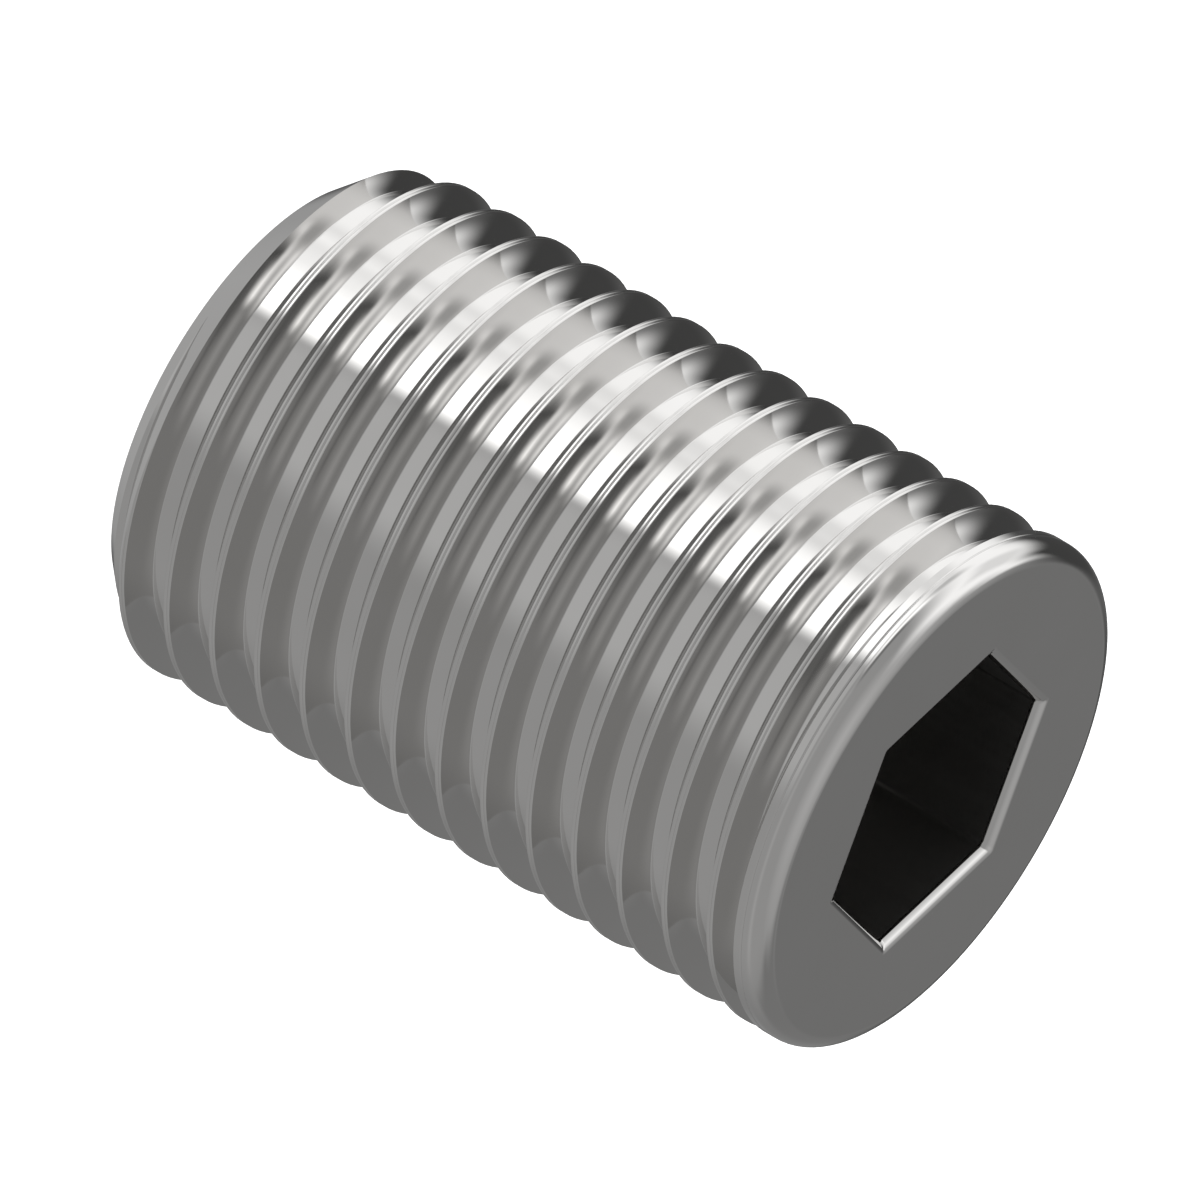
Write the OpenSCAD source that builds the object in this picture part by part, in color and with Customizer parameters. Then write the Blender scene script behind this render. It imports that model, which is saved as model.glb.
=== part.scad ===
// Socket set screw with a cup point: one turned, threaded and broached piece of steel.
// It stands on the rim of its cup with the hex socket facing up. All sizes are in millimetres.

/* [Body] */
// Overall length, from the rim of the cup to the socket face
length = 19.05; // [16:0.05:30]
// Major diameter of the thread, across its crests
thread_d = 12.7; // [12:0.1:16]

/* [Thread] */
// Distance from one crest to the next
pitch = 1.27; // [1:0.01:1.75]
// Angle between the two flanks of the groove
flank_angle = 60; // [55:1:60]
// Width of the flat at the bottom of the groove
root_flat = 0.41; // [0.2:0.01:0.45]
// Turn of the groove's start about the axis
thread_start = 180; // [0:5:355]

/* [Socket end] */
// Radius of the rounded edge round the socket face
rim_r = 0.5; // [0.2:0.05:0.8]
// Full diameter land between the rounded edge and the last turn of the groove
rim_land = 0.3; // [0.05:0.01:1]

/* [Hex socket] */
// Width of the hex socket across its flats
hex_af = 6.35; // [4:0.05:7]
// Depth of the hex socket's flats below the face
hex_depth = 6.6; // [3:0.1:7]
// Width of the break round the socket's mouth
mouth_break = 0.18; // [0.05:0.01:0.25]
// Point angle of the drill that made the socket's floor
drill_angle = 118; // [100:1:140]

/* [Cup point] */
// Radial width of the 45 degree chamfer round the point
point_chamfer = 1; // [0.6:0.05:1.4]
// Width of the rim left between that chamfer and the cup
cup_rim = 0.4; // [0.2:0.05:1.5]
// Angle across the cup's cone
cup_angle = 118; // [110:1:130]

/* [Hidden] */
$fn = 96;

// Steps in one turn of the helical groove
turn_steps = 36;
// Overlap that carries a cut past the face it opens on
cut = 0.05;

// Flat crests an eighth of the pitch wide, as on a unified thread
crest_w = pitch / 8;
flank_slope = tan(flank_angle / 2);
thread_r = thread_d / 2;
root_r = thread_r - (pitch - crest_w - root_flat) / (2 * flank_slope);

// The groove's cutter reaches past the crests by less than would make it meet its next turn
cutter_r = thread_r + 0.3 * crest_w / flank_slope;
cutter_w = root_flat + 2 * (cutter_r - root_r) * flank_slope;
cutter_corners = [[root_r, -root_flat / 2], [root_r, root_flat / 2],
                  [cutter_r, cutter_w / 2], [cutter_r, -cutter_w / 2]];

// The cutter starts one pitch below the point and climbs past the socket face
helix_steps = (ceil(length / pitch) + 1) * turn_steps;

// Height at which the land behind the rounded edge begins
land_z = length - rim_r - rim_land;

// Corner radii of a hexagon from half its width across flats
function corner_r(half_width) = half_width / cos(30);

// The groove's section at one step of the helix, which climbs as its angle grows: a right-hand thread
function groove_section(step) =
    let (angle = thread_start + step * 360 / turn_steps,
         height = (step / turn_steps - 1) * pitch)
    [for (corner = cutter_corners) [corner[0] * cos(angle), corner[0] * sin(angle), height + corner[1]]];

// Two triangles for each of the four sides between a section and the next one
function groove_sides(step) =
    let (here = 4 * step, next = here + 4)
    [for (side = [0:3])
        let (other = (side + 1) % 4)
        each [[here + side, next + other, here + other],
              [here + side, next + side, next + other]]];

// The helical groove that is cut away to leave the thread standing
module thread_groove() {
    last = 4 * helix_steps;
    points = [for (step = [0:helix_steps]) each groove_section(step)];
    sides = [for (step = [0:helix_steps - 1]) each groove_sides(step)];
    ends = [[0, 1, 2, 3], [last + 3, last + 2, last + 1, last]];
    polyhedron(points, concat(ends, sides), convexity = 10);
}

// All that lies above the lower flank of the rim, where the groove runs out and stays uncut
module above_rim() {
    foot_r = root_r - cut;
    foot_z = land_z - (thread_r - foot_r) * flank_slope;
    outer_r = cutter_r + cut;
    outer_z = land_z + (outer_r - thread_r) * flank_slope;
    top_z = (helix_steps / turn_steps + 1) * pitch;
    rotate_extrude()
        polygon([[0, foot_z], [foot_r, foot_z], [outer_r, outer_z], [outer_r, top_z], [0, top_z]]);
}

// The bar before threading, with its chamfered point and its rounded edge at the socket face
module blank() {
    face_r = thread_r - rim_r;
    edge_z = length - rim_r;
    rotate_extrude() {
        polygon([[0, 0], [thread_r - point_chamfer, 0], [thread_r, point_chamfer],
                 [thread_r, edge_z], [face_r, length], [0, length]]);
        translate([face_r, edge_z])
            intersection() {
                circle(rim_r);
                square(rim_r);
            }
    }
}

// The broached hexagon, the break round its mouth and the drilled floor below it
module hex_socket() {
    drill_r = hex_af / 2;
    drill_h = drill_r / tan(drill_angle / 2);
    translate([0, 0, length - hex_depth])
        cylinder(h = hex_depth + cut, r = corner_r(hex_af / 2), $fn = 6);
    translate([0, 0, length - mouth_break])
        cylinder(h = mouth_break + cut, r1 = corner_r(hex_af / 2),
                 r2 = corner_r(hex_af / 2 + mouth_break + cut), $fn = 6);
    translate([0, 0, length - hex_depth - drill_h])
        cylinder(h = drill_h, r1 = 0, r2 = drill_r);
}

// The cup's cone, sunk into the point so that a narrow rim is left round it
module cup() {
    cup_r = thread_r - point_chamfer - cup_rim;
    cone_slope = tan(cup_angle / 2);
    translate([0, 0, -cut])
        cylinder(h = cup_r / cone_slope + cut, r1 = cup_r + cut * cone_slope, r2 = 0);
}

module set_screw() {
    color("silver")
        difference() {
            blank();
            difference() {
                thread_groove();
                above_rim();
            }
            hex_socket();
            cup();
        }
}

set_screw();
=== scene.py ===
import math

import bpy
import numpy as np
from bpy.props import FloatProperty, FloatVectorProperty, IntProperty, PointerProperty
from mathutils import Matrix, Vector


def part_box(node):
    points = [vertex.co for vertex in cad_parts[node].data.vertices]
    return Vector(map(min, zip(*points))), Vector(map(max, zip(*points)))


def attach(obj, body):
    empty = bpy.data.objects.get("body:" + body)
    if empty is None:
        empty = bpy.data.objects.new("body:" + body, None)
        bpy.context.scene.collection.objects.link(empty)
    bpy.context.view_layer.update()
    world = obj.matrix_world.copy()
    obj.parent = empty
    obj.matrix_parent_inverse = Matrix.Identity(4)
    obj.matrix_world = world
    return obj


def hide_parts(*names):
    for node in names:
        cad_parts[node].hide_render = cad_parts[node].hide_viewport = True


bl_info = {
    "name": "Cup Point Set Screw",
    "version": (1, 0, 0),
    "blender": (4, 5, 0),
    "location": "View3D > Sidebar > Set Screw",
    "description": "Builds the polished surface of a hex socket set screw and the studio round it",
    "category": "Add Mesh",
}

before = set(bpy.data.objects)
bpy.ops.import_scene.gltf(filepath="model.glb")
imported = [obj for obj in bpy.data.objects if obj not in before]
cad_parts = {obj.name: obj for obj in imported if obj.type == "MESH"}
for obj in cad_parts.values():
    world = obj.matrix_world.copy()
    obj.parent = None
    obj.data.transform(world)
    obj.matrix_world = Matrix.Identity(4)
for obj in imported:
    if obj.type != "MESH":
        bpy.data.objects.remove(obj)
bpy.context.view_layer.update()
screw_low, screw_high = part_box("set_screw")

# Corners closer than this become one vertex, in metres
WELD = 1e-8

# Points along each stretch of a profile, close enough that no facet shows
SMALL_ARC_POINTS = 4
FLANK_POINTS = 7
HALF_SEAM_POINTS = 5
ROUNDED_EDGE_POINTS = 17
LIP_POINTS = 9
FACE_POINTS = 4
WALL_POINTS = 5

# Corners of the floor, and points round and up the light tent, a degree apart
FLOOR_CORNERS = 96
TENT_COLUMNS = 361
TENT_ROWS = 181

# Most values of a noise lie between these two
NOISE_LOW, NOISE_HIGH = 0.3, 0.7


# Colours

def linear(hex_colour):
    """Turns an sRGB hex colour such as "#CCCCCC" into linear red, green, blue and alpha."""
    srgb = [int(hex_colour[i:i + 2], 16) / 255 for i in (1, 3, 5)]
    return tuple(c / 12.92 if c <= 0.04045 else ((c + 0.055) / 1.055) ** 2.4 for c in srgb) + (1.0,)


# Settings

class ScrewSizes(bpy.types.PropertyGroup):
    """Sizes of the screw, from the solid's frame or from the standard for its thread and socket"""

    length: FloatProperty(
        name="Length", description="From the rim of the cup to the socket face",
        default=screw_high.z - screw_low.z, unit="LENGTH", precision=5)
    major_diameter: FloatProperty(
        name="Major Diameter", description="Across the crests of the thread",
        default=screw_high.x - screw_low.x, unit="LENGTH", precision=5)
    pitch: FloatProperty(
        name="Pitch", description="From one crest to the next",
        default=0.00127, unit="LENGTH", precision=5)
    flank_angle: FloatProperty(
        name="Flank Angle", description="Between the two flanks of the groove",
        default=math.radians(60), subtype="ANGLE")
    root_flat: FloatProperty(
        name="Root Flat", description="Width of the flat at the bottom of the groove",
        default=0.00041, unit="LENGTH", precision=5)
    thread_start: FloatProperty(
        name="Thread Start", description="Turn of the groove's start about the axis",
        default=math.radians(180), subtype="ANGLE")
    crest_edge: FloatProperty(
        name="Crest Edge", description="Radius on the two edges of each crest",
        default=0.00002, unit="LENGTH", precision=5)
    root_fillet: FloatProperty(
        name="Root Fillet", description="Radius in the two corners of the groove",
        default=0.00003, unit="LENGTH", precision=5)
    flank_lean: FloatProperty(
        name="Flank Lean", description="Lean of a slightly hollow flank from its chord at its ends",
        default=math.radians(10), subtype="ANGLE")
    seam_width: FloatProperty(
        name="Seam Width", description="Half the width of the seam that rolling leaves along a crest",
        default=0.00003, unit="LENGTH", precision=5)
    seam_depth: FloatProperty(
        name="Seam Depth", description="Depth of the seam along a crest",
        default=0.000012, unit="LENGTH", precision=6)
    rim_radius: FloatProperty(
        name="Rim Radius", description="Rounded edge round the socket face",
        default=0.0005, unit="LENGTH", precision=5)
    rim_land: FloatProperty(
        name="Rim Land", description="Full diameter between the rounded edge and the groove",
        default=0.0003, unit="LENGTH", precision=5)
    rim_line: FloatProperty(
        name="Rim Line", description="From the tool's fine line to the start of the rounding",
        default=0.0001, unit="LENGTH", precision=5)
    hex_width: FloatProperty(
        name="Hex Width", description="Across the flats of the socket",
        default=0.00635, unit="LENGTH", precision=5)
    hex_depth: FloatProperty(
        name="Hex Depth", description="Depth of the flats below the face",
        default=0.0066, unit="LENGTH", precision=5)
    hex_corner: FloatProperty(
        name="Hex Corner", description="Radius in the corners of the socket",
        default=0.00015, unit="LENGTH", precision=5)
    mouth_break: FloatProperty(
        name="Mouth Break", description="Width of the rounded lip round the socket's mouth",
        default=0.00025, unit="LENGTH", precision=5)
    drill_angle: FloatProperty(
        name="Drill Angle", description="Point angle of the drill that made the socket's floor",
        default=math.radians(118), subtype="ANGLE")
    point_chamfer: FloatProperty(
        name="Point Chamfer", description="Radial width of the 45 degree chamfer on the point",
        default=0.001, unit="LENGTH", precision=5)
    cup_rim: FloatProperty(
        name="Cup Rim", description="Width of the rim between the chamfer and the cup",
        default=0.0004, unit="LENGTH", precision=5)
    cup_angle: FloatProperty(
        name="Cup Angle", description="Angle across the cup's cone",
        default=math.radians(118), subtype="ANGLE")
    flat_steps: IntProperty(
        name="Flat Steps", description="Columns of faces along each flat of the socket",
        default=19, min=4)
    corner_steps: IntProperty(
        name="Corner Steps", description="Columns of faces in each corner of the socket, an even number",
        default=6, min=2, step=2)


class SteelFinish(bpy.types.PropertyGroup):
    """Colours and gloss of the steel"""

    steel: FloatVectorProperty(
        name="Steel", description="Polished stainless steel, seen straight on",
        default=linear("#CFCECD"), size=4, subtype="COLOR", min=0, max=1)
    steel_dull: FloatVectorProperty(
        name="Dull Steel", description="The slightly darker cloudy patches of the steel",
        default=linear("#CBCAC8"), size=4, subtype="COLOR", min=0, max=1)
    # Socket steel: its darker colour is painted shade inside the socket, not a colour of the steel itself
    socket_steel_painted_shade: FloatVectorProperty(
        name="Socket Steel", description="Broached walls, darkened as painted shade in the socket",
        default=linear("#9A9997"), size=4, subtype="COLOR", min=0, max=1)
    gloss: FloatProperty(
        name="Roughness", description="Roughness of the polished faces",
        default=0.05, subtype="FACTOR", min=0, max=1)
    socket_gloss: FloatProperty(
        name="Socket Roughness", description="Roughness of the broached walls",
        default=0.3, subtype="FACTOR", min=0, max=1)


class StudioSettings(bpy.types.PropertyGroup):
    """Camera, floor, light tent, lamp and world"""

    picture_width: FloatProperty(
        name="Picture Width", description="Width of the square view at the screw",
        default=0.026496, unit="LENGTH", precision=6)
    camera_turn: FloatProperty(
        name="Camera Turn", description="Direction of the camera round the axis, from +X",
        default=math.radians(245.36), subtype="ANGLE")
    camera_rise: FloatProperty(
        name="Camera Rise", description="Angle of the camera above the floor",
        default=math.radians(23.86), subtype="ANGLE")
    camera_roll: FloatProperty(
        name="Camera Roll", description="Turn of the picture about the line of sight",
        default=math.radians(120.67), subtype="ANGLE")
    camera_distance: FloatProperty(
        name="Camera Distance", description="From the middle of the screw",
        default=0.12, unit="LENGTH")
    floor_radius: FloatProperty(
        name="Floor Radius", description="Radius of the round floor",
        default=0.6, unit="LENGTH")
    floor_colour: FloatVectorProperty(
        name="Floor Colour", description="Pale matt floor",
        default=linear("#F2F2F2"), size=4, subtype="COLOR", min=0, max=1)
    tent_radius: FloatProperty(
        name="Tent Radius", description="Radius of the light tent that the steel mirrors",
        default=0.5, unit="LENGTH")
    lamp_power: FloatProperty(
        name="Lamp Power", description="Power of the soft lamp, in watts",
        default=1.2, min=0)
    lamp_size: FloatProperty(
        name="Lamp Size", description="Diameter of the soft lamp",
        default=0.3, unit="LENGTH")
    lamp_rise: FloatProperty(
        name="Lamp Rise", description="Angle of the soft lamp above the floor",
        default=math.radians(55), subtype="ANGLE")
    lamp_distance: FloatProperty(
        name="Lamp Distance", description="From the middle of the screw",
        default=0.5, unit="LENGTH")
    world_light: FloatProperty(
        name="World Light", description="Strength of the even light from all sides",
        default=0.6, min=0)
    floor_glow: FloatProperty(
        name="Floor Glow", description="Glow that lifts the seen floor to white",
        default=0.75, min=0)
    floor_cover: FloatProperty(
        name="Floor Cover", description="Share of the seen floor's light and shadow that the glow covers",
        default=0.6, subtype="FACTOR", min=0, max=1)


# Meshes

def split(grid, other=None):
    """Cuts each cell of a grid into two triangles and gives the values at their corners.
    A cell's corners in order are itself, the next column, the next row and column, and the next row.
    Where other is true the cut joins the second and fourth corner, and elsewhere the first and third."""
    here, side, far, up = grid[:-1, :-1], grid[:-1, 1:], grid[1:, 1:], grid[1:, :-1]
    plain = np.stack([np.stack([here, side, far], 2), np.stack([here, far, up], 2)], 2)
    if other is not None:
        turned = np.stack([np.stack([here, side, up], 2), np.stack([side, far, up], 2)], 2)
        chosen = other.reshape(other.shape + (1,) * (plain.ndim - 2))
        plain = np.where(chosen, turned, plain)
    return plain.reshape((-1, 3) + grid.shape[2:])


def around(radius, angle, height):
    """Points at a radius, an angle about the axis and a height: x = r cos a, y = r sin a, z = h."""
    radius, angle, height = np.broadcast_arrays(radius, angle, height)
    return np.stack([radius * np.cos(angle), radius * np.sin(angle), height], -1)


def unit(vectors):
    """Vectors made one long."""
    return vectors / np.linalg.norm(vectors, axis=-1, keepdims=True)


def column(values):
    """A list of numbers as the rows of a grid that is one column wide."""
    return np.asarray(values, float)[:, None]


def hex_columns(sizes):
    """The columns that all patches share, from 0 to a full turn, as three lists: the angle about the
    axis, the hexagon's radius there over half its width across flats, and the angle of its normal.
    A corner is an arc of radius p whose middle lies (1 - p) / cos 30 from the axis, for a half width
    of 1. Its normal turns 60 degrees, half of it on each side of the corner.
    A flat at the angle m has the radius 1 / cos(a - m)."""
    corner = sizes.hex_corner / (sizes.hex_width / 2)
    middle = (1 - corner) / math.cos(math.pi / 6)
    half_turn = np.linspace(0, np.pi / 6, sizes.corner_steps // 2 + 1)
    across, along = middle + corner * np.cos(half_turn), corner * np.sin(half_turn)
    arc_angle, arc_radius = np.arctan2(along, across), np.hypot(along, across)
    flat_angle = np.linspace(arc_angle[-1], np.pi / 3 - arc_angle[-1], sizes.flat_steps + 1)[1:-1]
    flat_radius = 1 / np.cos(flat_angle - np.pi / 6)
    flat_normal = np.full_like(flat_angle, np.pi / 6)
    angle = np.concatenate([arc_angle, flat_angle, np.pi / 3 - arc_angle[:0:-1]])
    radius = np.concatenate([arc_radius, flat_radius, arc_radius[:0:-1]])
    normal = np.concatenate([half_turn, flat_normal, np.pi / 3 - half_turn[:0:-1]])
    sixth = column(np.arange(6) * np.pi / 3)
    angle = np.append((angle + sixth).ravel(), 2 * np.pi)
    normal = np.append((normal + sixth).ravel(), 0)
    return angle, np.append(np.tile(radius, 6), radius[0]), normal


def turns(sizes):
    """The angles of the columns, of which the last falls exactly on the first."""
    angle = hex_columns(sizes)[0]
    angle[-1] = 0.0
    return angle[None, :]


def revolved(sizes, radius, height, normal_out, normal_up):
    """A profile turned about the axis. Each point of the profile has a radius, a height and a normal,
    and every column holds the same profile."""
    points = around(column(radius), turns(sizes), column(height))
    normals = unit(around(column(normal_out), turns(sizes), column(normal_up)))
    return split(points), split(normals)


def hex_ring(sizes, half_width, height, normal_out, normal_up):
    """A profile carried round the hexagon of the socket. Each point of the profile has half a width
    across flats, a height and a normal, and the normal swings round with the hexagon's own."""
    factor, normal = hex_columns(sizes)[1:]
    points = around(column(half_width) * factor, turns(sizes), column(height))
    normals = unit(around(column(normal_out), normal[None, :], column(normal_up)))
    return split(points), split(normals)


def thread_section(sizes):
    """One pitch of the thread as heights from the groove's middle, radii and slopes.
    From the flat root a small arc leads into the flank, a small arc leads from the flank onto the
    crest, and the crest dips by a cosine to the seam in its middle. The flank is a parabola over its
    chord, lower than it by 4 d t (1 - t) at the share t of its length, where the lean at its two ends
    gives d = length tan(lean) / 4."""
    pitch, half, lean = sizes.pitch, sizes.flank_angle / 2, sizes.flank_lean
    crest = sizes.major_diameter / 2
    # A crest is an eighth of the pitch wide
    crest_half = pitch / 8 / 2
    root_half = sizes.root_flat / 2
    root = crest - (pitch / 2 - crest_half - root_half) / math.tan(half)
    steep = math.pi / 2 - half

    root_turn = np.linspace(0, steep - lean, SMALL_ARC_POINTS)
    start = root_half - sizes.root_fillet * math.tan(steep / 2)
    root_rise = start + sizes.root_fillet * np.sin(root_turn)
    root_radius = root + sizes.root_fillet * (1 - np.cos(root_turn))

    crest_turn = np.linspace(steep + lean, 0, SMALL_ARC_POINTS)
    end = pitch / 2 - crest_half + sizes.crest_edge * math.tan(steep / 2)
    crest_rise = end - sizes.crest_edge * np.sin(crest_turn)
    crest_radius = crest - sizes.crest_edge * (1 - np.cos(crest_turn))

    share = np.linspace(0, 1, FLANK_POINTS)[1:-1]
    run, climb = crest_rise[0] - root_rise[-1], crest_radius[0] - root_radius[-1]
    chord = math.hypot(run, climb)
    hollow = chord * math.tan(lean) / 4
    out, over = -run / chord, climb / chord
    bow = 4 * hollow * share * (1 - share)
    swing = 4 * hollow * (1 - 2 * share)
    flank_rise = root_rise[-1] + run * share + over * bow
    flank_radius = root_radius[-1] + climb * share + out * bow
    flank_slope = (climb + out * swing) / (run + over * swing)

    dip = np.linspace(0, np.pi, HALF_SEAM_POINTS)
    seam_rise = pitch / 2 - sizes.seam_width * (1 - dip / np.pi)
    seam_radius = crest - sizes.seam_depth * (1 - np.cos(dip)) / 2
    seam_slope = -sizes.seam_depth * np.sin(dip) / 2 * np.pi / sizes.seam_width

    rise = np.concatenate([root_rise, flank_rise, crest_rise, seam_rise])
    radius = np.concatenate([root_radius, flank_radius, crest_radius, seam_radius])
    slope = np.concatenate([np.tan(root_turn), flank_slope, np.tan(crest_turn), seam_slope])
    height = np.concatenate([-rise[-2::-1], rise])
    return height, np.concatenate([radius[-2::-1], radius]), np.concatenate([-slope[-2::-1], slope])


def thread_skin(sizes):
    """The threaded side, from the rim of the cup to the land behind the socket face.
    Each row of the grid climbs one pitch a turn, so it follows one line of the thread's section.
    Radius = the section at height - pitch * (angle - start) / turn, but never outside the cone of the
    point's chamfer (radius grows as height), and never inside the cone below the land (the slope of
    a flank), where the groove runs out. A row that would leave the grid stays on its edge.
    Gives corner positions and corner normals."""
    crest, pitch = sizes.major_diameter / 2, sizes.pitch
    top = sizes.length - sizes.rim_radius - sizes.rim_land
    steep = 1 / math.tan(sizes.flank_angle / 2)
    section_height, section_radius, section_slope = thread_section(sizes)
    angle = hex_columns(sizes)[0][None, :]

    def thread_at(height, angle, values):
        along = height - pitch * (angle - sizes.thread_start) / (2 * np.pi)
        return np.interp(along, section_height, values, period=pitch)

    def chamfer_at(height):
        return crest - sizes.point_chamfer + height

    def land_at(height):
        return crest - (top - height) * steep

    def skin_at(height, angle):
        thread = thread_at(height, angle, section_radius)
        return np.maximum(np.minimum(thread, chamfer_at(height)), land_at(height))

    def snap(height, inner, outer):
        """Moves a row onto the line where two surfaces cross, where that line runs just above or
        below it: height + step * gap / (gap - next gap)."""
        gap = inner(height) - outer(height)
        low, high = gap[:-1], gap[1:]
        share = low / np.where(low == high, 1, low - high)
        crossing = height[:-1] + (height[1:] - height[:-1]) * share
        moved = height.copy()
        moved[:-1] = np.where((low > 0) & (high < 0), crossing, moved[:-1])
        moved[1:] = np.where((low < 0) & (high > 0), crossing, moved[1:])
        return moved

    def thread_radius(height):
        return thread_at(height, angle, section_radius)

    # Whole pitches, from below the point to above the land on every side
    lead = sizes.thread_start / (2 * math.pi)
    first, last = math.floor(lead - 2), math.ceil(lead + top / pitch + 1)
    starts = column(np.arange(first, last + 1)) * pitch
    rows = (starts + section_height[None, :]).ravel()
    height = column(rows) + pitch * (angle - sizes.thread_start) / (2 * np.pi)
    height = np.clip(height, 0, top)
    height = snap(height, thread_radius, chamfer_at)
    height = snap(height, land_at, thread_radius)
    radius = skin_at(height, angle)
    # After a full turn each row arrives where the row one pitch above it started
    count = len(section_height)
    radius[:-count, -1], height[:-count, -1] = radius[count:, 0], height[count:, 0]

    def miss(first_row, first_column, second_row, second_column):
        """How far the middle of a cell's diagonal lies from the true surface."""
        middle_height = (height[first_row, first_column] + height[second_row, second_column]) / 2
        middle_radius = (radius[first_row, first_column] + radius[second_row, second_column]) / 2
        middle_angle = (angle[:, :-1] + angle[:, 1:]) / 2
        return np.abs(skin_at(middle_height, middle_angle) - middle_radius)

    low, high = slice(None, -1), slice(1, None)
    other = miss(low, high, high, low) < miss(low, low, high, high) - WELD

    slope = thread_at(height, angle, section_slope)
    climb = slope * pitch / (2 * np.pi * radius)
    out, side = around(1.0, turns(sizes), 0.0), around(1.0, turns(sizes) + np.pi / 2, 0.0)
    up = np.array([0.0, 0.0, 1.0])
    thread_normal = unit(out + climb[..., None] * side - slope[..., None] * up)
    chamfer_normal = unit(np.broadcast_to(out - up, thread_normal.shape))
    land_normal = unit(np.broadcast_to(out - steep * up, thread_normal.shape))

    middle_height = split(height, other).mean(1)
    middle_angle = split(np.broadcast_to(angle, height.shape), other).mean(1)
    thread = thread_at(middle_height, middle_angle, section_radius)
    surface = np.where(land_at(middle_height) > thread, 2,
                       np.where(chamfer_at(middle_height) < thread, 1, 0))
    choices = [split(n, other) for n in (thread_normal, chamfer_normal, land_normal)]
    return (split(around(radius, turns(sizes), height), other),
            np.choose(surface[:, None, None], choices))


def cup(sizes):
    """The cup's cone, from its point inside the screw out to the mouth, then the flat rim."""
    outer = sizes.major_diameter / 2 - sizes.point_chamfer
    mouth = outer - sizes.cup_rim
    half = sizes.cup_angle / 2
    share = np.linspace(0, 1, WALL_POINTS)
    cone = revolved(sizes, mouth * share, mouth / math.tan(half) * (1 - share),
                    np.full_like(share, -math.cos(half)), np.full_like(share, -math.sin(half)))
    flat = revolved(sizes, [mouth, outer], [0, 0], [0, 0], [-1, -1])
    return cone, flat


def rim(sizes):
    """The land of full diameter with the fine line that the tool left where it began the rounding,
    then a quarter circle from the side to the socket face. The line is a dip by a cosine."""
    crest, length, rounding = sizes.major_diameter / 2, sizes.length, sizes.rim_radius
    swing = np.linspace(0, 2 * np.pi, 2 * HALF_SEAM_POINTS - 1)
    line_radius = crest - sizes.seam_depth * (1 - np.cos(swing)) / 2
    line_height = length - rounding - sizes.rim_line + sizes.seam_width * (swing / np.pi - 1)
    line_slope = sizes.seam_depth * np.sin(swing) / 2 * np.pi / sizes.seam_width
    turn = np.linspace(0, np.pi / 2, ROUNDED_EDGE_POINTS)
    radius = np.concatenate([[crest], line_radius, crest - rounding + rounding * np.cos(turn)])
    height = np.concatenate([[length - rounding - sizes.rim_land], line_height,
                             length - rounding + rounding * np.sin(turn)])
    radius[-1], height[-1] = crest - rounding, length
    normal_out = np.concatenate([[1], np.ones_like(swing), np.cos(turn)])
    normal_up = np.concatenate([[0], line_slope, np.sin(turn)])
    return revolved(sizes, radius, height, normal_out, normal_up)


def socket_face(sizes):
    """The flat ring between the rounded edge and the hexagon: the radius goes evenly from one to the
    other along each column."""
    outer = sizes.major_diameter / 2 - sizes.rim_radius
    inner = (sizes.hex_width / 2 + sizes.mouth_break) * hex_columns(sizes)[1]
    share = column(np.linspace(0, 1, FACE_POINTS))
    points = around(outer * (1 - share) + inner * share, turns(sizes), sizes.length)
    return split(points), split(np.broadcast_to([0.0, 0.0, 1.0], points.shape))


def socket_walls(sizes):
    """The lip, a quarter circle carried round the hexagon, and the broached flats below it."""
    half, lip, top = sizes.hex_width / 2, sizes.mouth_break, sizes.length
    turn = np.linspace(0, np.pi / 2, LIP_POINTS)
    width = half + lip - lip * np.sin(turn)
    height = top - lip + lip * np.cos(turn)
    width[-1], height[0], height[-1] = half, top, top - lip
    edge = hex_ring(sizes, width, height, -np.sin(turn), np.cos(turn))
    depth = np.linspace(top - lip, top - sizes.hex_depth, WALL_POINTS)
    walls = hex_ring(sizes, np.full_like(depth, half), depth, np.full_like(depth, -1),
                     np.zeros_like(depth))
    return edge, walls


def socket_floor(sizes):
    """The corners that the broach leaves flat, and the drill's cone down to its point."""
    half, bottom = sizes.hex_width / 2, sizes.length - sizes.hex_depth
    corner = half * hex_columns(sizes)[1]
    points = around(np.stack([corner, np.full_like(corner, half)]), turns(sizes), bottom)
    flat = split(points), split(np.broadcast_to([0.0, 0.0, 1.0], points.shape))
    point = sizes.drill_angle / 2
    share = np.linspace(0, 1, WALL_POINTS)
    cone = revolved(sizes, half * (1 - share), bottom - half / math.tan(point) * share,
                    np.full_like(share, -math.cos(point)), np.full_like(share, math.sin(point)))
    return flat, cone


def closed_mesh(name, patches, materials):
    """One closed mesh from patches of loose triangles. Corners that fall on each other become one
    vertex, triangles left without area are dropped, and each corner keeps its own exact normal.
    A patch is corner positions, corner normals and the number of its material."""
    points = np.concatenate([p[0] for p in patches])
    normals = np.concatenate([p[1] for p in patches])
    finish = np.concatenate([np.full(len(p[0]), p[2]) for p in patches])
    keys = np.round(points.reshape(-1, 3) / WELD).astype(np.int64)
    _, first, index = np.unique(keys, axis=0, return_index=True, return_inverse=True)
    faces = index.reshape(-1, 3)
    whole = (faces != np.roll(faces, 1, axis=1)).all(1)
    faces, normals, finish = faces[whole], normals[whole], finish[whole]

    mesh = bpy.data.meshes.new(name)
    mesh.from_pydata(points.reshape(-1, 3)[first], [], faces)
    for material in materials:
        mesh.materials.append(material)
    mesh.polygons.foreach_set("material_index", finish.astype(np.int32))
    mesh.polygons.foreach_set("use_smooth", np.ones(len(faces), bool))
    mesh.normals_split_custom_set(normals.reshape(-1, 3))
    mesh.update()
    return mesh


def placed(name, mesh):
    """A new object of a mesh, at the origin."""
    piece = bpy.data.objects.new(name, mesh)
    bpy.context.scene.collection.objects.link(piece)
    return piece


# Materials

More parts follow.
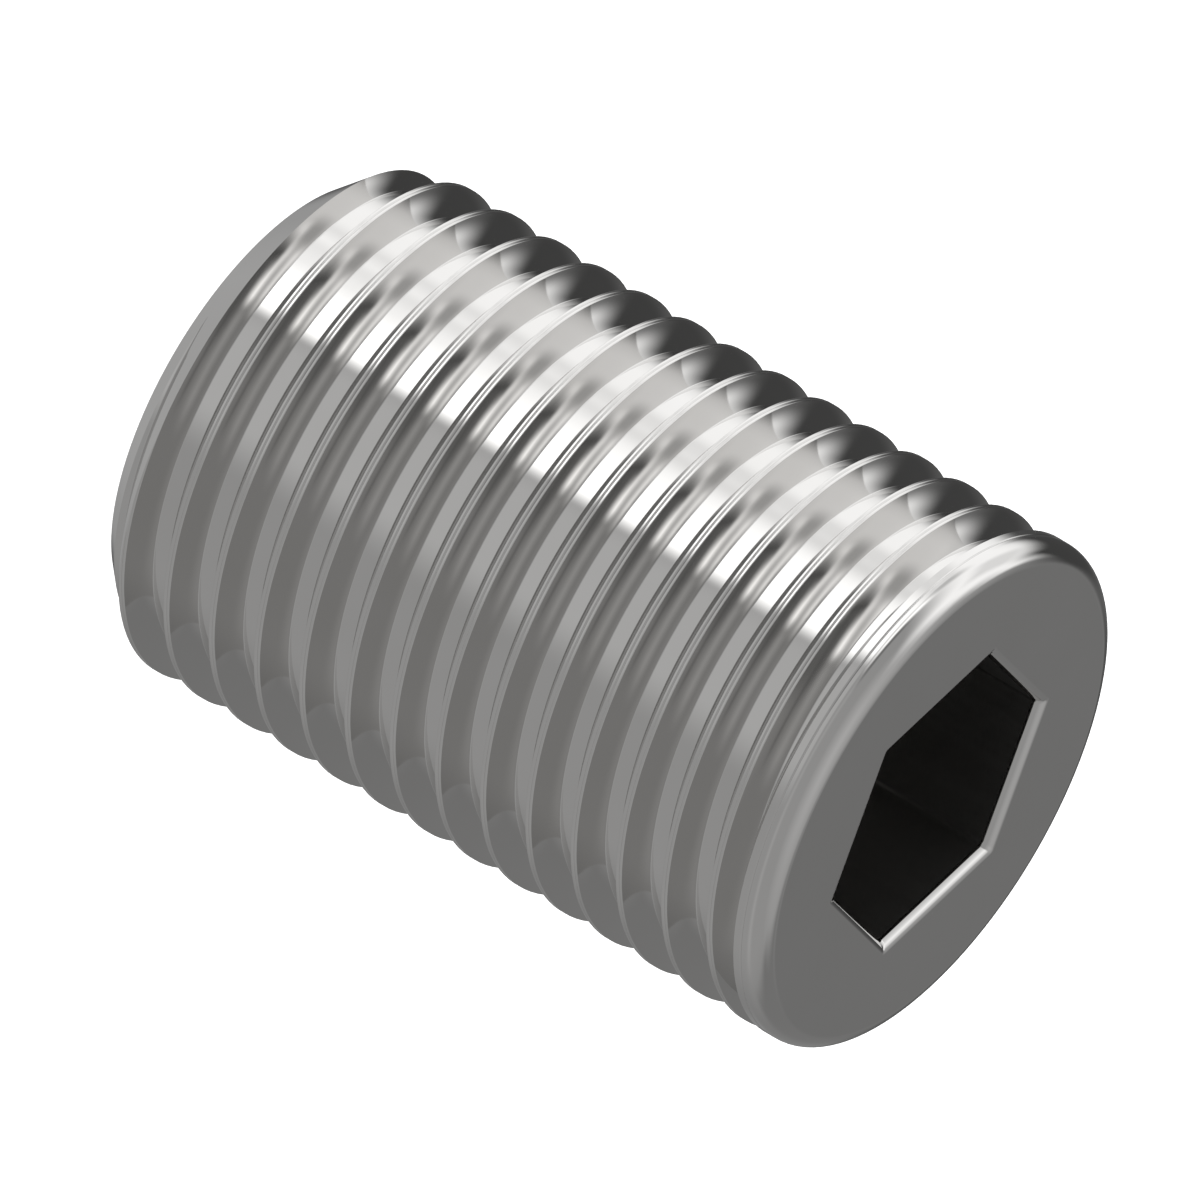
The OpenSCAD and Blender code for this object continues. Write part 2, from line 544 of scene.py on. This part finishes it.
def add(tree, kind, settings=None, inputs=None):
    """Adds a node, sets its properties, then sets each input or links it from a socket."""
    node = tree.nodes.new(kind)
    for key, value in (settings or {}).items():
        setattr(node, key, value)
    for key, value in (inputs or {}).items():
        if isinstance(value, bpy.types.NodeSocket):
            tree.links.new(value, node.inputs[key])
        else:
            node.inputs[key].default_value = value
    return node


def new_material(name):
    """An empty node material with its output node."""
    material = bpy.data.materials.new(name)
    material.use_nodes = True
    material.node_tree.nodes.clear()
    return material, add(material.node_tree, "ShaderNodeOutputMaterial")


def polished_steel(finish):
    """Polished stainless steel. Rolling and tumbling leave it bright, with faint clouds in its colour
    and gloss a few millimetres wide, and no grain that the eye can follow."""
    material, output = new_material("polished stainless steel")
    tree = material.node_tree
    place = add(tree, "ShaderNodeTexCoord").outputs["Object"]
    cloud_size, gloss_spread = 0.002, 0.15
    clouds = add(tree, "ShaderNodeTexNoise", inputs={
        "Vector": place, "Scale": 1 / cloud_size, "Detail": 3.0, "Roughness": 0.5})
    colour = add(tree, "ShaderNodeMix", {"data_type": "RGBA"}, {
        0: clouds.outputs["Fac"], 6: tuple(finish.steel), 7: tuple(finish.steel_dull)})
    gloss = add(tree, "ShaderNodeMapRange", inputs={
        "Value": clouds.outputs["Fac"], "From Min": NOISE_LOW, "From Max": NOISE_HIGH,
        "To Min": finish.gloss * (1 - gloss_spread), "To Max": finish.gloss * (1 + gloss_spread)})
    shader = add(tree, "ShaderNodeBsdfPrincipled", inputs={
        "Base Color": colour.outputs[2], "Metallic": 1.0, "Roughness": gloss.outputs["Result"]})
    tree.links.new(shader.outputs["BSDF"], output.inputs["Surface"])
    return material


def broached_steel_painted_shade(finish):
    """Broached stainless steel. The broach leaves fine lines along its stroke, so the walls look a little
    dull.
    Their dark colour is painted shade inside the socket."""
    material, output = new_material("broached stainless steel with painted shade")
    tree = material.node_tree
    place = add(tree, "ShaderNodeTexCoord").outputs["Object"]
    # The stroke runs along Z
    line_gap, line_length, gloss_spread = 0.0001, 0.005, 0.06
    stretched = add(tree, "ShaderNodeMapping", inputs={
        "Vector": place, "Scale": (1 / line_gap, 1 / line_gap, 1 / line_length)})
    lines = add(tree, "ShaderNodeTexNoise", inputs={
        "Vector": stretched.outputs["Vector"], "Scale": 1.0, "Detail": 0.0})
    gloss = add(tree, "ShaderNodeMapRange", inputs={
        "Value": lines.outputs["Fac"], "From Min": NOISE_LOW, "From Max": NOISE_HIGH,
        "To Min": finish.socket_gloss * (1 - gloss_spread),
        "To Max": finish.socket_gloss * (1 + gloss_spread)})
    # The dark base colour is painted shade of the socket's recess; the roughness and its lines are the
    # real broached finish
    shader = add(tree, "ShaderNodeBsdfPrincipled", inputs={
        "Base Color": tuple(finish.socket_steel_painted_shade), "Metallic": 1.0,
        "Roughness": gloss.outputs["Result"]})
    tree.links.new(shader.outputs["BSDF"], output.inputs["Surface"])
    return material


# Studio

def soft_box(turn, rise, middle, size, fade):
    """How much of a panel is seen in each direction, from 0 to 1. size is its half width and half
    height in degrees, and fade is how wide its sides and its ends fade. The fade of each pair of
    sides is the smooth step 3 s^2 - 2 s^3 of its share s."""
    away = np.abs((turn - middle[0] + 180) % 360 - 180)
    above = np.abs(rise - middle[1])
    across = np.clip(0.5 + (size[0] - away) / fade[0], 0, 1)
    along = np.clip(0.5 + (size[1] - above) / fade[1], 0, 1)
    return across ** 2 * (3 - 2 * across) * along ** 2 * (3 - 2 * along)


def tent_glow(turn, rise):
    """Brightness of the light tent by direction, in degrees round from the camera's side and above
    the floor. A turn of 90 is on the left of someone who stands at the camera. The tent is an even
    grey, paler at the top and the floor, and each panel in turn pulls it towards the panel's own
    brightness by the share that soft_box gives: glow + (brightness - glow) * share."""
    glow = np.interp(rise, (-60, -45, 40, 60, 85), (0.5, 0.42, 0.42, 0.5, 0.6))
    panels = (
        # Each row: middle, half size, fade of the sides and of the ends, brightness
        # Shaded wall behind the screw
        ((190, 0), (45, 35), (55, 40), 0.27),
        # Dark cloth on the floor, front left
        ((50, -55), (35, 25), (35, 10), 0.25),
        # Pale strip low round the front and the right
        ((-35, -5), (70, 5), (25, 15), 0.5),
        # Pale board below the camera
        ((5, -25), (30, 5), (25, 15), 0.65),
        # Large soft box on the left
        ((100, 10), (30, 50), (40, 30), 1.45),
        # Second soft box, behind on the left
        ((130, 30), (20, 15), (15, 20), 1.5),
        # White board on the floor, left
        ((100, -50), (35, 10), (20, 25), 1.65),
        # Dimmer middle of the large soft box
        ((110, 20), (15, 15), (15, 15), 1.1),
        # Bright strip, front left
        ((55, -10), (20, 5), (20, 15), 2.0),
        # Brightest strip, just below it
        ((60, -25), (25, 3), (10, 15), 3.0),
        # Gap between the strips and the large soft box
        ((80, -15), (10, 10), (15, 15), 0.75),
        # Dark card under the strips
        ((65, -35), (10, 10), (25, 10), 0.15),
        # Black card behind on the left, which ends the soft boxes
        ((150, 0), (20, 30), (20, 20), 0.07),
        # Narrow black card straight behind
        ((180, -10), (10, 25), (10, 15), 0.1),
        # Grey card behind on the right
        ((-150, 25), (25, 20), (20, 15), 0.25),
        # Grey card that the socket face mirrors
        ((180, 25), (10, 5), (10, 10), 0.23),
        # Dark card, front left at eye level
        ((40, 0), (15, 5), (15, 10), 0.22),
        # Dark edge of the board below the camera
        ((20, -40), (40, 0), (25, 10), 0.15),
    )
    for middle, size, fade, level in panels:
        glow = glow + (level - glow) * soft_box(turn, rise, middle, size, fade)
    return glow


def direction(turn, rise):
    """A vector one long, at an angle about the axis and an angle above the floor."""
    return Vector((math.cos(rise) * math.cos(turn), math.cos(rise) * math.sin(turn), math.sin(rise)))


def add_camera(scene, studio, middle):
    """A parallel camera that looks at the middle of the screw and is rolled about its line of sight."""
    roll = studio.camera_roll
    back = direction(studio.camera_turn, studio.camera_rise)
    level = Vector((0, 0, 1)).cross(back).normalized()
    upright = back.cross(level)
    right = math.cos(roll) * level + math.sin(roll) * upright
    up = back.cross(right)
    camera = bpy.data.objects.new("camera", bpy.data.cameras.new("camera"))
    camera.data.type = "ORTHO"
    camera.data.ortho_scale = studio.picture_width
    camera.data.clip_start = 0.001
    camera.data.clip_end = 10.0
    camera.matrix_world = Matrix.Translation(middle + back * studio.camera_distance) @ Matrix(
        (right, up, back)).transposed().to_4x4()
    scene.collection.objects.link(camera)
    scene.camera = camera


def seen_as_background(tree):
    """A value that is 1 for camera, mirror and glass rays and 0 for the rays that carry light."""
    path = add(tree, "ShaderNodeLightPath")
    seen = add(tree, "ShaderNodeMath", {"operation": "MAXIMUM"}, {
        0: path.outputs["Is Camera Ray"], 1: path.outputs["Is Glossy Ray"]})
    return add(tree, "ShaderNodeMath", {"operation": "MAXIMUM"}, {
        0: seen.outputs["Value"], 1: path.outputs["Is Transmission Ray"]}).outputs["Value"]


def add_floor(studio):
    """A round matt floor. Where it is seen as background a plain glow lifts it to white, and its own
    share of lamp light keeps the screw's shadow."""
    turn = np.linspace(0, 2 * np.pi, FLOOR_CORNERS + 1)[:-1]
    edge = around(studio.floor_radius, turn, 0.0)
    mesh = bpy.data.meshes.new("floor")
    mesh.from_pydata(edge, [], [list(range(len(edge)))])
    material, output = new_material("matt floor")
    tree = material.node_tree
    matt = add(tree, "ShaderNodeBsdfDiffuse", inputs={"Color": tuple(studio.floor_colour)})
    glow = add(tree, "ShaderNodeEmission", inputs={
        "Color": (1, 1, 1, 1), "Strength": studio.floor_glow})
    part = add(tree, "ShaderNodeMixShader", inputs={
        0: studio.floor_cover, 1: matt.outputs["BSDF"], 2: glow.outputs["Emission"]})
    lifted = add(tree, "ShaderNodeAddShader", inputs={
        0: part.outputs["Shader"], 1: glow.outputs["Emission"]})
    mixed = add(tree, "ShaderNodeMixShader", inputs={
        0: seen_as_background(tree), 1: matt.outputs["BSDF"], 2: lifted.outputs["Shader"]})
    tree.links.new(mixed.outputs["Shader"], output.inputs["Surface"])
    mesh.materials.append(material)
    floor = placed("floor", mesh)
    floor.visible_glossy = False


def add_tent(studio, middle):
    """A light tent round the screw, a sphere that only mirror rays see. Each vertex holds the
    brightness that tent_glow gives for its direction."""
    turn = np.linspace(0, 2 * np.pi, TENT_COLUMNS)[None, :]
    rise = column(np.linspace(-np.pi / 2, np.pi / 2, TENT_ROWS))
    points = around(studio.tent_radius * np.cos(rise), turn, studio.tent_radius * np.sin(rise))
    rows, places = points.shape[:2]
    number = np.arange(rows * places).reshape(rows, places)
    faces = np.stack([number[:-1, :-1], number[:-1, 1:], number[1:, 1:], number[1:, :-1]], -1)
    mesh = bpy.data.meshes.new("light tent")
    mesh.from_pydata(points.reshape(-1, 3) + np.array(middle), [], faces.reshape(-1, 4))
    facing = np.degrees(studio.camera_turn - turn)
    glow = np.broadcast_to(tent_glow(facing, np.degrees(rise)), (rows, places))
    mesh.attributes.new("glow", "FLOAT", "POINT").data.foreach_set("value", glow.ravel())
    material, output = new_material("light tent")
    tree = material.node_tree
    level = add(tree, "ShaderNodeAttribute", {"attribute_name": "glow"})
    emission = add(tree, "ShaderNodeEmission", inputs={"Strength": level.outputs["Fac"]})
    tree.links.new(emission.outputs["Emission"], output.inputs["Surface"])
    material.cycles.emission_sampling = "NONE"
    mesh.materials.append(material)
    tent = placed("light_tent", mesh)
    tent.visible_camera = False
    tent.visible_diffuse = False
    tent.visible_transmission = False
    tent.visible_shadow = False


def add_lamp(scene, studio, middle):
    """One soft lamp above the camera's side, so that the shadow falls behind the screw."""
    lamp = bpy.data.objects.new("soft_lamp", bpy.data.lights.new("soft lamp", "AREA"))
    lamp.data.shape = "DISK"
    lamp.data.size = studio.lamp_size
    lamp.data.energy = studio.lamp_power
    back = direction(studio.camera_turn, studio.lamp_rise)
    lamp.location = middle + back * studio.lamp_distance
    lamp.rotation_euler = back.to_track_quat("Z", "Y").to_euler()
    lamp.visible_glossy = False
    scene.collection.objects.link(lamp)


def set_world(scene, studio):
    """White where it is seen as background, and an even grey light from all sides otherwise."""
    world = bpy.data.worlds.new("studio")
    world.use_nodes = True
    tree = world.node_tree
    tree.nodes.clear()
    strength = add(tree, "ShaderNodeMapRange", inputs={
        "Value": seen_as_background(tree), "To Min": studio.world_light, "To Max": 1.0})
    background = add(tree, "ShaderNodeBackground", inputs={
        "Color": (1, 1, 1, 1), "Strength": strength.outputs["Result"]})
    output = add(tree, "ShaderNodeOutputWorld")
    tree.links.new(background.outputs["Background"], output.inputs["Surface"])
    scene.world = world


# Operators and panel

class SETSCREW_OT_screw(bpy.types.Operator):
    """Builds the screw's surface over its solid"""

    bl_idname = "setscrew.screw"
    bl_label = "Set Screw"

    def execute(self, context):
        sizes, finish = context.scene.screw_sizes, context.scene.steel_finish
        cone, cup_flat = cup(sizes)
        edge, walls = socket_walls(sizes)
        floor, drill = socket_floor(sizes)
        polished = (cone, cup_flat, thread_skin(sizes), rim(sizes), socket_face(sizes), edge)
        # The socket's walls, flats and drill cone take the darker socket steel, whose darkness is painted
        # shade in the recess
        patches = [(*patch, 0) for patch in polished] + [(*patch, 1) for patch in (walls, floor, drill)]
        mesh = closed_mesh("screw", patches, [polished_steel(finish), broached_steel_painted_shade(finish)])
        screw = placed("screw", mesh)
        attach(screw, "root")
        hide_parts("set_screw")
        return {"FINISHED"}


class SETSCREW_OT_studio(bpy.types.Operator):
    """Sets up the floor, the light tent, the lamp, the world and the camera"""

    bl_idname = "setscrew.studio"
    bl_label = "Studio"

    def execute(self, context):
        scene, sizes, studio = context.scene, context.scene.screw_sizes, context.scene.studio
        middle = Vector((0, 0, sizes.length / 2))
        scene.view_settings.view_transform = "Standard"
        add_camera(scene, studio, middle)
        add_floor(studio)
        add_tent(studio, middle)
        add_lamp(scene, studio, middle)
        set_world(scene, studio)
        return {"FINISHED"}


class SETSCREW_PT_panel(bpy.types.Panel):
    """Lists the sizes, the finish and the studio, with a button for each operator"""

    bl_idname = "SETSCREW_PT_panel"
    bl_label = "Set Screw"
    bl_space_type = "VIEW_3D"
    bl_region_type = "UI"
    bl_category = "Set Screw"

    def draw(self, context):
        for group, operator in (("screw_sizes", None), ("steel_finish", SETSCREW_OT_screw),
                                ("studio", SETSCREW_OT_studio)):
            box = self.layout.box()
            settings = getattr(context.scene, group)
            for name in settings.__annotations__:
                box.prop(settings, name)
            if operator is not None:
                box.operator(operator.bl_idname)


CLASSES = (ScrewSizes, SteelFinish, StudioSettings, SETSCREW_OT_screw, SETSCREW_OT_studio,
           SETSCREW_PT_panel)


def register():
    for cls in CLASSES:
        bpy.utils.register_class(cls)
    bpy.types.Scene.screw_sizes = PointerProperty(type=ScrewSizes)
    bpy.types.Scene.steel_finish = PointerProperty(type=SteelFinish)
    bpy.types.Scene.studio = PointerProperty(type=StudioSettings)


def unregister():
    del bpy.types.Scene.studio
    del bpy.types.Scene.steel_finish
    del bpy.types.Scene.screw_sizes
    for cls in reversed(CLASSES):
        bpy.utils.unregister_class(cls)


def main():
    register()
    bpy.ops.setscrew.screw()
    bpy.ops.setscrew.studio()


if __name__ == "__main__":
    main()
